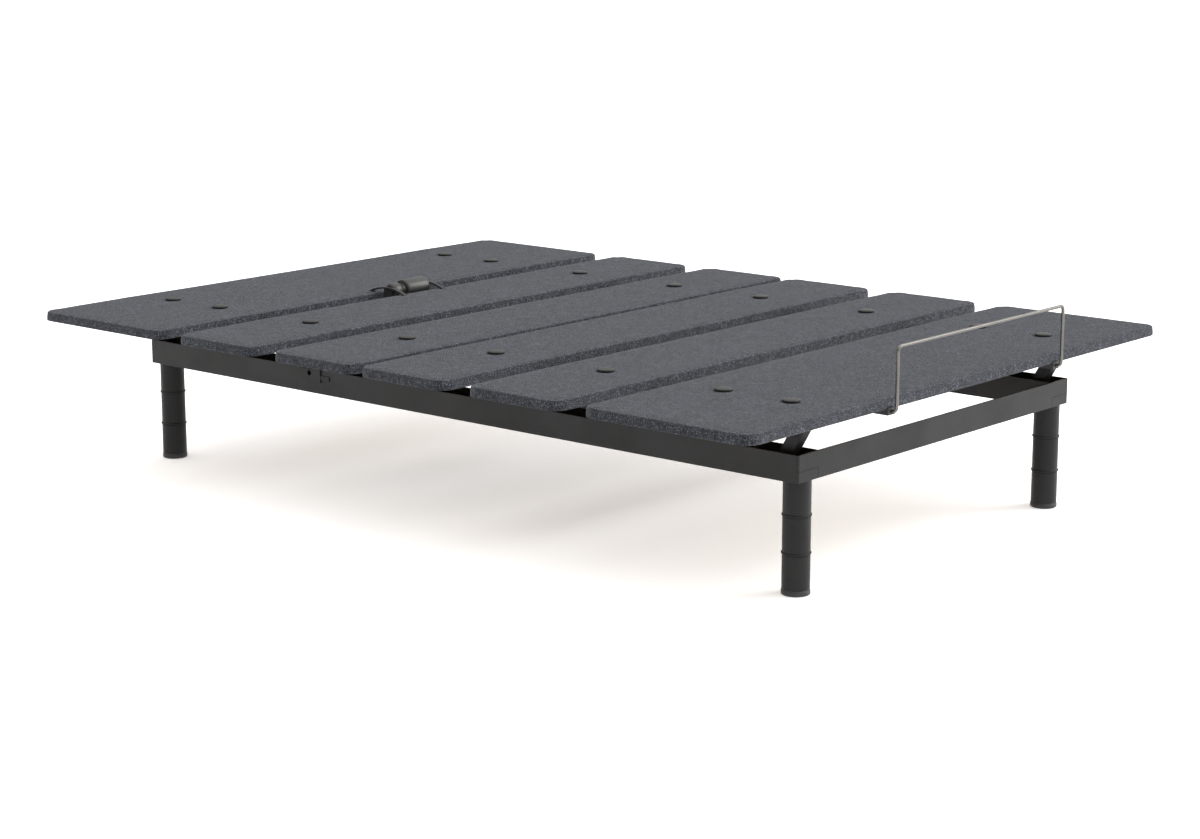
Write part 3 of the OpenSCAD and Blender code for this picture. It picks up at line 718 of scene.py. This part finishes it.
def make_floor():
    """A pale floor that can't be seen from below, with a faint glow that keeps its shadows light."""
    g = Graph("studio_floor", FLOOR_COLOUR, 0.9, specular=0.1)
    g.set("Emission Color", (1, 1, 1, 1))
    g.set("Emission Strength", FLOOR_GLOW)
    tree = g.tree
    out = next(n for n in tree.nodes if n.type == "OUTPUT_MATERIAL")
    clear = g.node("ShaderNodeBsdfTransparent").outputs[0]
    below = g.node("ShaderNodeNewGeometry").outputs["Backfacing"]
    mixed = g.node("ShaderNodeMixShader", {0: below, 1: g.shader.outputs[0], 2: clear})
    tree.links.new(mixed.outputs[0], out.inputs[0])
    corners = [(sx * FLOOR_HALF, sy * FLOOR_HALF, 0) for sx, sy in ((-1, -1), (1, -1), (1, 1), (-1, 1))]
    floor = mesh_piece("floor", [(corners, [(0, 1, 2, 3)])])
    floor.data.materials.append(g.material)
    floor.location.z = -0.2 * MM


def make_sky():
    """A studio dome: brightest overhead, lighter on the foot end's right side, with one soft box there."""
    world = bpy.data.worlds.new("studio")
    scene.world = world
    world.use_nodes = True
    tree = world.node_tree
    background = tree.nodes["Background"]
    background.inputs["Color"].default_value = (1, 1, 1, 1)
    toward = tree.nodes.new("ShaderNodeTexCoord").outputs["Generated"]

    def node(kind, operation, *inputs):
        made = tree.nodes.new(kind)
        made.operation = operation
        for socket, value in zip(made.inputs, inputs):
            if isinstance(value, bpy.types.NodeSocket):
                tree.links.new(value, socket)
            else:
                socket.default_value = value
        return made

    def facing(direction):
        dot = node("ShaderNodeVectorMath", "DOT_PRODUCT", toward, tuple(direction)).outputs["Value"]
        return node("ShaderNodeMath", "MAXIMUM", dot, 0.0).outputs[0]

    side = Vector((math.sin(KEY_AZIMUTH), -math.cos(KEY_AZIMUTH), 0))
    key = side * math.cos(KEY_ELEVATION) + Vector((0, 0, math.sin(KEY_ELEVATION)))
    zenith = node("ShaderNodeMath", "POWER", facing((0, 0, 1)), 2.0).outputs[0]
    light = node("ShaderNodeMath", "MULTIPLY_ADD", zenith, SKY_ZENITH, SKY_BASE).outputs[0]
    light = node("ShaderNodeMath", "MULTIPLY_ADD", facing(side), SKY_SIDE, light).outputs[0]
    box = tree.nodes.new("ShaderNodeMapRange")
    box.interpolation_type = "SMOOTHSTEP"
    tree.links.new(facing(key), box.inputs[0])
    box.inputs[1].default_value = math.cos(math.radians(KEY_RADIUS[1]))
    box.inputs[2].default_value = math.cos(math.radians(KEY_RADIUS[0]))
    light = node("ShaderNodeMath", "MULTIPLY_ADD", box.outputs[0], KEY_RADIANCE, light).outputs[0]
    tree.links.new(light, background.inputs["Strength"])
    scene.view_settings.view_transform = "Standard"


make_sky()
make_floor()
